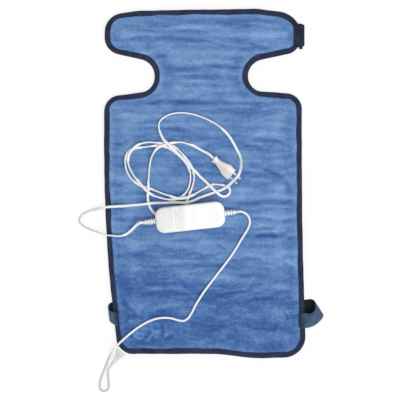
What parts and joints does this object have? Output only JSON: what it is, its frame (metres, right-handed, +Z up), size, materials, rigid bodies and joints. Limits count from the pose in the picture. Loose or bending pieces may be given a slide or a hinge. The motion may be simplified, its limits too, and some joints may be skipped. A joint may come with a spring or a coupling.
{
  "type": "heating pad with controller",
  "caption": "Blue plush neck-and-back heating pad with a bound edge, collar lobes, belt loops and a plug-in lead carrying a white hand controller and mains plug.",
  "frame": {"origin": "middle of the pad on the flat face of its backing, the face it lies on", "axes": "+Y along the pad from hem to collar, +Z up out of the plush face, +X to the right as seen from above"},
  "size_m": [0.4884, 0.7678, 0.0466],
  "materials": {
    "plush": "brushed blue plush pile",
    "backing": "plain woven backing",
    "felt": "needled felt",
    "binding": "navy folded binding tape",
    "webbing": "slate-blue woven webbing",
    "hook_tape": "hook tape",
    "housing": "white moulded plastic, satin",
    "warm_plastic": "warm white moulded plastic",
    "vinyl": "white soft vinyl",
    "lens": "translucent white",
    "nickel": "nickel plate",
    "brass": "plain",
    "steel": "zinc plated",
    "board": "green laminate",
    "black_plastic": "black moulded",
    "red_insulation": "red silicone insulation"
  },
  "bodies": {
    "pad": {"front_panel": "plush", "back_panel": "backing", "felt_carrier": "felt", "edge_binding": "binding", "heating_wire": "red_insulation", "return_lead_upper": "vinyl", "return_lead_lower": "vinyl", "thermal_cutout": "black_plastic", "pad_socket": "housing", "socket_contact_a": "brass", "socket_contact_b": "brass", "belt_loop_left": "webbing", "belt_loop_right": "webbing", "collar_tab": "binding", "collar_hook_strip": "hook_tape"},
    "control_lead": {"lead_connector": "housing", "pad_lead": "vinyl", "controller_base": "housing", "controller_cover": "housing", "level_window": "lens", "circuit_board": "board", "switch_body": "black_plastic", "led_low": "lens", "led_mid": "lens", "led_high": "lens", "fuse": "steel", "capacitor": "warm_plastic", "triac": "black_plastic", "microchip": "black_plastic", "mains_terminal": "board", "pad_terminal": "board", "mains_core_a": "red_insulation", "mains_core_b": "black_plastic", "pad_core_a": "red_insulation", "pad_core_b": "black_plastic", "relief_mains": "vinyl", "relief_pad": "vinyl", "screw_1": "steel", "screw_2": "steel", "screw_3": "steel", "screw_4": "steel", "mains_lead": "vinyl", "plug_body": "vinyl", "pin_a": "nickel", "pin_b": "nickel", "pin_sleeve_a": "housing", "pin_sleeve_b": "housing"},
    "power_button": {"power_button": "housing", "switch_plunger": "warm_plastic"}
  },
  "joints": [
    {"name": "connector_pull", "type": "slide", "parent": "pad", "child": "control_lead", "axis": [-0.6018, -0.7986, 0], "range_m": [0, 0.016]},
    {"name": "button_press", "type": "slide", "parent": "control_lead", "child": "power_button", "axis": [-0.0301, 0.0335, -0.999], "range_m": [0, 0.0012], "stiffness_N_per_m": 1500, "springref_m": -0.0005}
  ]
}
